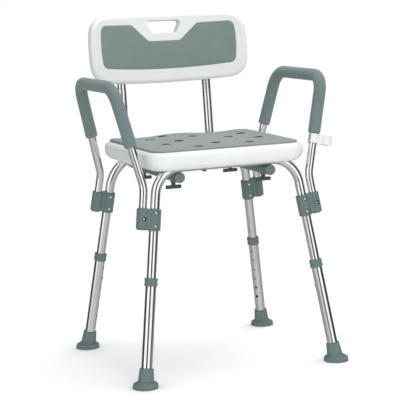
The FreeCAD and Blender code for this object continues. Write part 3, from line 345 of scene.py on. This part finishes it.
LOOKS = {
    "white_plastic": moulded_plastic("white_plastic_look", WHITE, 0.36, 0.05, 0.6, 0.15),
    "seat_foam": foam("seat_foam_look", SEAT_GREY, 900.0),
    "back_foam": foam("back_foam_look", BACK_GREY, 900.0),
    "grip_foam": foam("grip_foam_look", GRIP_GREY, 700.0),
    "tube_aluminium": drawn_tube("tube_aluminium_look", ALUMINIUM, 0.13),
    "grey_plastic": moulded_plastic("grey_plastic_look", PLASTIC_GREY, 0.42, 0.07, 0.08),
    "dark_plastic": moulded_plastic("dark_plastic_look", KNOB_GREY, 0.4, 0.06, 0.3),
    "grey_rubber": rubber("grey_rubber_look", PLASTIC_GREY),
    "steel": plated("steel_look", STEEL, 0.2),
    "brass": plated("brass_look", BRASS, 0.28),
}


def dress_cad_nodes():
    """Gives every CAD node the procedural material of its slot."""
    for entry in frame["record"]["subparts"]:
        node = frame["nodes"][entry["node"]]
        look = LOOKS[entry["material_slot"]]
        for place in node.material_slots:
            place.material = look


# ---- foam sheets -------------------------------------------------------------------------------

def rounded_outline(corners, bows, radius, step):
    """A closed outline, counter-clockwise: sides that bow outwards, joined by round corners."""
    count = len(corners)
    sides = []
    for n, (start, bow) in enumerate(zip(corners, bows)):
        end = corners[(n + 1) % count]
        run = end - start
        out = Vector((run.y, -run.x)).normalized() * bow
        sides.append((start, run, out))

    def spot(side, t):
        start, run, out = side
        return start + run * t + out * (4 * t * (1 - t))

    def heading(side, t):
        start, run, out = side
        return (run + out * (4 - 8 * t)).normalized()

    points = []
    for n, side in enumerate(sides):
        previous = sides[n - 1]
        into, away = heading(previous, 1.0), heading(side, 0.0)
        turn = math.atan2(into.cross(away), into.dot(away))
        reach = radius * abs(math.tan(turn / 2))
        inward = Vector((-into.y, into.x)) * math.copysign(radius, turn)
        middle = side[0] - into * reach + inward
        parts = max(3, round(abs(turn) * radius / step))
        for part in range(parts):
            points.append(middle + Matrix.Rotation(turn * part / parts, 2) @ -inward)
        following = sides[(n + 1) % count]
        next_turn = heading(side, 1.0).angle(heading(following, 0.0))
        length = side[1].length
        start_t = reach / length
        end_t = 1 - radius * math.tan(next_turn / 2) / length
        parts = max(1, round((end_t - start_t) * length / step))
        for part in range(parts):
            points.append(spot(side, start_t + (end_t - start_t) * part / parts))
    return points


def circle(x, y, radius, parts):
    """Points round a circle, counter-clockwise."""
    turns = [2 * math.pi * n / parts for n in range(parts)]
    return [Vector((x + radius * math.cos(t), y + radius * math.sin(t))) for t in turns]


def grown(points, distance):
    """The same outline with every point moved outwards along its normal."""
    moved = []
    for n, point in enumerate(points):
        along = (points[(n + 1) % len(points)] - points[n - 1]).normalized()
        moved.append(point + Vector((along.y, -along.x)) * distance)
    return moved


def inside(point, outline):
    """Whether a point lies within a closed outline."""
    crossings = False
    for start, end in zip(outline, outline[1:] + outline[:1]):
        if (start.y > point.y) != (end.y > point.y):
            x = start.x + (point.y - start.y) / (end.y - start.y) * (end.x - start.x)
            if point.x < x:
                crossings = not crossings
    return crossings


def filled(outline, holes, step):
    """Triangles that fill an outline apart from its holes, on a hexagonal net of points."""
    points = [p for ring in (outline, *holes) for p in ring]
    edges = []
    first = 0
    for ring in (outline, *holes):
        count = len(ring)
        edges += [(first + n, first + (n + 1) % count) for n in range(count)]
        first += count
    shrunk = grown(outline, -step * NET_GAP)
    widened = [grown(hole, step * NET_GAP) for hole in holes]
    low = Vector((min(p.x for p in outline), min(p.y for p in outline)))
    high = Vector((max(p.x for p in outline), max(p.y for p in outline)))
    rows = int((high.y - low.y) / (step * NET_ROW)) + 1
    columns = int((high.x - low.x) / step) + 1
    for row in range(rows):
        for column in range(columns):
            x = low.x + (column + 0.5 * (row % 2)) * step
            p = Vector((x, low.y + row * step * NET_ROW))
            if inside(p, shrunk) and not any(inside(p, hole) for hole in widened):
                points.append(p)
    result = geometry.delaunay_2d_cdt(points, edges, [], 0, 1e-7)
    verts, faces, origins = result[0], result[2], result[3]
    place = {source: n for n, sources in enumerate(origins) for source in sources}
    kept = []
    for face in faces:
        middle = sum((verts[n] for n in face), Vector((0, 0))) / len(face)
        if inside(middle, outline) and not any(inside(middle, hole) for hole in holes):
            kept.append(face)
    return verts, kept, place


def edge_profile(lip, thick):
    """How far in, and at what share of the height, each ring of a round-over edge lies."""
    turns = [math.radians(angle) for angle in (0, 22.5, 45, 67.5, 90)]
    rings = [(lip * (1 - math.sin(t)), 1 - lip / thick * (1 - math.cos(t))) for t in turns]
    return [*rings, (0.0, 0.0)]


def foam_sheet(name, outline, holes, thick, lips, step, place):
    """A closed sheet with round-over edges; place maps (x, y, height) into the frame.

    The two lips are how wide the round-over is at the outline and at the holes.
    """
    top_rings = [grown(outline, -lips[0])] + [grown(hole, -lips[1]) for hole in holes]
    verts, faces, source = filled(top_rings[0], top_rings[1:], step)
    mesh = bmesh.new()
    hole_shade = mesh.verts.layers.float.new(WELL)
    top = [mesh.verts.new(place(v.x, v.y, 1.0)) for v in verts]
    bottom = [mesh.verts.new(place(v.x, v.y, 0.0)) for v in verts]
    for face in faces:
        mesh.faces.new([top[n] for n in face])
        mesh.faces.new([bottom[n] for n in reversed(face)])
    first = 0
    for ring_number, ring in enumerate((outline, *holes)):
        rings = []
        lip = lips[1] if ring_number else lips[0]
        for inset, height in edge_profile(lip, thick)[1:]:
            rings.append([mesh.verts.new(place(p.x, p.y, height)) for p in grown(ring, -inset)])
            for vert in rings[-1]:
                # painted shade on the hole walls: a mask that rises from 0 at the top of the lip
                # to 1 down the wall
                vert[hole_shade] = min(1.0, 1.6 * (1 - inset / lip)) if ring_number else 0.0
        count = len(ring)
        edge = [top[source[first + n]] for n in range(count)]
        under = [bottom[source[first + n]] for n in range(count)]
        for upper, lower in zip([edge, *rings], [*rings, under]):
            for n in range(count):
                m = (n + 1) % count
                mesh.faces.new([upper[n], lower[n], lower[m], upper[m]])
        first += count
    return finished(name, mesh)


def finished(name, mesh):
    """Turns a bmesh into a smooth-shaded object in the scene."""
    bmesh.ops.recalc_face_normals(mesh, faces=mesh.faces)
    data = bpy.data.meshes.new(name)
    mesh.to_mesh(data)
    mesh.free()
    for polygon in data.polygons:
        polygon.use_smooth = True
    made = bpy.data.objects.new(name, data)
    bpy.context.scene.collection.objects.link(made)
    return made


def soft_piece(piece, body, slot, node):
    """Says what a foam piece moves with, takes its finish from and stands for."""
    piece.data.materials.append(LOOKS[slot])
    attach(piece, body)
    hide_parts(node)


def seat_pad():
    """The perforated pad: its top waves gently across the seat, more so towards the rear."""
    low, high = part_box("seat_pad")
    half_x, half_y, base = high[0], high[1], low[2]
    corners = [Vector(c) for c in
               ((-half_x, -half_y), (half_x, -half_y), (half_x, half_y), (-half_x, half_y))]
    outline = rounded_outline(corners, (0, 0, 0, 0), PAD_CORNER, EDGE_STEP)
    seat_x, seat_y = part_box("seat_shell")[1][:2]
    holes = [circle(x * seat_x, y * seat_y, DRAIN_RADIUS, DRAIN_PARTS)[::-1]
             for x, y in DRAIN_SHARES]

    def place(x, y, height):
        rear = min(1.0, max(0.0, (y + half_y) / (2 * PAD_WAVE_FULL * half_y)))
        wave = PAD_WAVE * rear * math.cos(2 * math.pi * x / PAD_WAVE_PITCH)
        soft = PAD_DENT * noise.noise(Vector((x, y, 0)) * PAD_DENT_SCALE)
        return Vector((x, y, base + height * (high[2] - base + wave + soft)))

    piece = foam_sheet("seat_pad_foam", outline, holes, high[2] - base, (PAD_EDGE, DRAIN_LIP),
                       PAD_STEP, place)
    soft_piece(piece, "frame", "seat_foam", "seat_pad")


def backrest_pad():
    """The inset pad: it follows the backrest's curve and crowns a little in its middle."""
    corners = [Vector(c) for c in (
        (-BACK_PAD_HALF, BACK_PAD_LOW), (BACK_PAD_HALF, BACK_PAD_LOW),
        (BACK_PAD_HALF, BACK_PAD_TOP), (NOTCH_TOP, BACK_PAD_TOP), (NOTCH_LOW, NOTCH_FLOOR),
        (-NOTCH_LOW, NOTCH_FLOOR), (-NOTCH_TOP, BACK_PAD_TOP), (-BACK_PAD_HALF, BACK_PAD_TOP),
    )]
    side_bow = 0.7 * BACK_PAD_BOW
    bows = (BACK_PAD_BOW, side_bow, 0, 0, 0, 0, 0, side_bow)
    outline = rounded_outline(corners, bows, BACK_PAD_CORNER, BACK_EDGE_STEP)
    turn = Matrix.Rotation(-BACK_LEAN, 3, "X")

    def place(x, z, height):
        swell = max(0.0, 1 - (x / BACK_PAD_HALF) ** 4) * max(0.0, 1 - (z / CROWN_TALL) ** 4)
        front = BACK_PAD_THICK + BACK_PAD_CROWN * swell
        radius = BACK_CURVE + BACK_PAD_REAR - height * front
        angle = math.asin(x / BACK_CURVE)
        local = Vector((radius * math.sin(angle), radius * math.cos(angle) - BACK_CURVE, z))
        return BACK_MIDDLE + turn @ local

    piece = foam_sheet("backrest_pad_foam", outline, [], BACK_PAD_THICK, (BACK_PAD_EDGE, 0),
                       BACK_PAD_STEP, place)
    soft_piece(piece, "backrest", "back_foam", "backrest_pad")


# ---- foam grips --------------------------------------------------------------------------------

def grip_route(side, node):
    """The corners of an arm's foam, from its front to its rear end."""
    low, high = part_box(node)
    rise = ARM_TOP - GRIP_LOW
    outer_x = max(abs(low[0]), abs(high[0])) - GRIP_RADIUS
    ring = [v.co.y for v in frame["nodes"][node].data.vertices
            if v.co.y > 0 and v.co.z < GRIP_LOW + 6 * MM]
    foot_y = (min(ring) + max(ring)) / 2
    foot = Vector((side * (outer_x - ARM_LEAN.x * rise), foot_y, GRIP_LOW))
    corner = foot + Vector((side * ARM_LEAN.x, ARM_LEAN.y, 1.0)) * rise
    mirrored = Vector((1, -1, 1))
    return [foot * mirrored, corner * mirrored, corner, foot]


def bent_line(points, radius, step):
    """Places and headings along runs joined by bends, with how deep in a bend each one is."""
    line = []
    start = points[0]
    for before, corner, after in zip(points, points[1:], points[2:]):
        into, away = (corner - before).normalized(), (after - corner).normalized()
        turn = into.angle(away)
        reach = radius * math.tan(turn / 2)
        stop = corner - into * reach
        line += straight(start, stop, step)
        axis = into.cross(away).normalized()
        middle = stop + axis.cross(into) * radius
        parts = round(radius * turn / step)
        for part in range(parts):
            turned = Matrix.Rotation(turn * part / parts, 3, axis)
            line.append((middle + turned @ (stop - middle), turned @ into,
                         math.sin(math.pi * part / parts)))
        start = corner + away * reach
    line += straight(start, points[-1], step)
    line.append((points[-1], (points[-1] - start).normalized(), 0.0))
    return line


def straight(start, stop, step):
    """Places and headings along one straight run, up to but without its end."""
    heading = (stop - start).normalized()
    parts = max(1, round((stop - start).length / step))
    return [(start.lerp(stop, n / parts), heading, 0.0) for n in range(parts)]


def arm_grip(name, side, node):
    """A foam tube over an arm: square soft ends, and faint creases inside its two bends."""
    line = bent_line(grip_route(side, node), ARM_CORNER, GRIP_STEP)
    mesh = bmesh.new()
    outer, bore = [], []
    normal = Vector((0, 1, 0))
    for number, (spot, heading, share) in enumerate(line):
        normal = (normal - heading * normal.dot(heading)).normalized()
        other = heading.cross(normal)
        steps_in = min(number, len(line) - 1 - number)
        soft = GRIP_SOFT * max(0, 1 - steps_in / 2) ** 2
        inner_side = inner_direction(line, number)
        creases = 2 * math.pi * number * GRIP_STEP / CREASE_PITCH
        ring, hollow = [], []
        for n in range(GRIP_AROUND):
            angle = 2 * math.pi * n / GRIP_AROUND
            out = normal * math.cos(angle) + other * math.sin(angle)
            crease = share * max(0.0, out.dot(inner_side)) ** 2
            ripple = CREASE_DEEP * crease * math.sin(creases)
            wander = GRIP_WANDER * noise.noise((spot + out * GRIP_RADIUS) * WANDER_SCALE)
            radius = GRIP_RADIUS - GRIP_WANDER - soft - ripple + wander
            ring.append(mesh.verts.new(spot + out * radius))
            hollow.append(mesh.verts.new(spot + out * GRIP_BORE))
        outer.append(ring)
        bore.append(hollow)
    join_rings(mesh, outer)
    join_rings(mesh, bore)
    join_rings(mesh, [outer[0], bore[0]])
    join_rings(mesh, [outer[-1], bore[-1]])
    soft_piece(finished(name, mesh), "frame", "grip_foam", node)


def inner_direction(line, number):
    """Which way a bend's inside lies, level with a point of the line."""
    before = line[max(0, number - 3)][1]
    after = line[min(len(line) - 1, number + 3)][1]
    change = after - before
    return change.normalized() if change.length > 1e-4 else Vector((0, 0, -1))


def join_rings(mesh, rings):
    """Skins the rings in their order."""
    for first, second in zip(rings, rings[1:]):
        for n in range(len(first)):
            m = (n + 1) % len(first)
            mesh.faces.new([first[n], first[m], second[m], second[n]])


# ---- studio ------------------------------------------------------------------------------------

def camera():
    """The camera, to the left of the chair's front and a little higher than the chair."""
    az, el = CAMERA_AZIMUTH, CAMERA_ELEVATION
    back = Vector((math.sin(az) * math.cos(el), -math.cos(az) * math.cos(el), math.sin(el)))
    right = Vector((math.cos(az), math.sin(az), 0))
    up = back.cross(right)
    turned_right = right * math.cos(CAMERA_ROLL) - up * math.sin(CAMERA_ROLL)
    turned_up = right * math.sin(CAMERA_ROLL) + up * math.cos(CAMERA_ROLL)
    made = bpy.data.objects.new("camera", bpy.data.cameras.new("camera"))
    made.data.lens = CAMERA_LENS
    turn = Matrix((turned_right, turned_up, back)).transposed().to_4x4()
    made.matrix_world = Matrix.Translation(CAMERA_PLACE) @ turn
    bpy.context.scene.collection.objects.link(made)
    bpy.context.scene.camera = made


def floor():
    """A wide pale floor that only shows the soft shadows at the feet, partly cast and partly
    painted shadow.
    """
    mesh = bmesh.new()
    bmesh.ops.create_circle(mesh, cap_ends=True, segments=96, radius=FLOOR_REACH)
    made = finished("floor", mesh)
    shader = Shader("floor_look", FLOOR_PALE, 0.9)
    away = shader.node("ShaderNodeVectorMath", shader.place)
    away.operation = "LENGTH"
    # painted shadow: the floor's colour darkens where the feet hem it in
    near = shader.openness(FLOOR_SHADOW, 0.2, 1.0, FLOOR_SAMPLES)
    shader.set(**{
        "Roughness": shader.ramp(shader.grain(3.0), 0.85, 0.95),
        "Alpha": shader.ramp(away.outputs["Value"], 1.0, 0.0, FLOOR_FADE, FLOOR_REACH),
        "Base Color": shader.mix(near, opaque(FLOOR_PAINTED_SHADOW), opaque(FLOOR_PALE)),
        "Emission Color": (1, 1, 1, 1), "Emission Strength": FLOOR_GLOW,
    })
    made.data.materials.append(shader.material)
    made.visible_glossy = False


def area_light(name, place, target, width, power):
    """A white square light that looks at a target and isn't seen in reflections."""
    data = bpy.data.lights.new(name, "AREA")
    data.shape = "SQUARE"
    data.size = width
    data.energy = power
    made = bpy.data.objects.new(name, data)
    made.location = place
    made.rotation_euler = (Vector(target) - Vector(place)).to_track_quat("-Z", "Y").to_euler()
    made.visible_glossy = False
    bpy.context.scene.collection.objects.link(made)


class World(Nodes):
    """Even white light all round, and for reflections two soft boxes with dark gaps."""

    def __init__(self):
        world = bpy.data.worlds.new("studio")
        world.use_nodes = True
        bpy.context.scene.world = world
        super().__init__(world.node_tree)
        self.tree.nodes.clear()

    def bands(self, fac, stops):
        """Greys that change with a value, at stops of place and brightness."""
        made = self.node("ShaderNodeValToRGB", fac)
        ramp = made.color_ramp
        while len(ramp.elements) < len(stops):
            ramp.elements.new(0.5)
        for element, (place, value) in zip(ramp.elements, stops):
            element.position = place
            element.color = (value, value, value, 1)
        return made.outputs["Color"]

    def reflections(self):
        """What shiny surfaces see: soft boxes at the sides, a glow below and one overhead."""
        view = self.node("ShaderNodeTexCoord").outputs["Generated"]
        turned = self.node("ShaderNodeVectorRotate", Vector=view, Angle=-CAMERA_AZIMUTH)
        parts = self.node("ShaderNodeSeparateXYZ", turned.outputs["Vector"]).outputs
        angle = self.math("ARCTAN2", parts["X"], self.math("MULTIPLY", parts["Y"], -1.0))
        around = self.ramp(angle, 0.0, 1.0, -math.pi, math.pi)
        height = self.ramp(parts["Z"], 0.0, 1.0, -1.0, 1.0)
        walls = self.mix(self.bands(height, HORIZON), self.bands(around, UNDER),
                         self.bands(around, SOFT_BOXES))
        return self.mix(1.0, walls, self.bands(height, OVERHEAD), "LIGHTEN")

    def build(self):
        paths = self.node("ShaderNodeLightPath").outputs
        lit = self.mix(paths["Is Glossy Ray"], opaque(DOME), self.reflections())
        seen = self.mix(paths["Is Camera Ray"], lit, (1, 1, 1, 1))
        light = self.node("ShaderNodeBackground", seen)
        self.node("ShaderNodeOutputWorld", light.outputs["Background"])


dress_cad_nodes()
seat_pad()
backrest_pad()
arm_grip("arm_grip_foam_left", -1, "arm_grip_left")
arm_grip("arm_grip_foam_right", 1, "arm_grip_right")
floor()
World().build()
for light in LIGHTS:
    area_light(*light)
camera()
bpy.context.scene.view_settings.view_transform = "Standard"
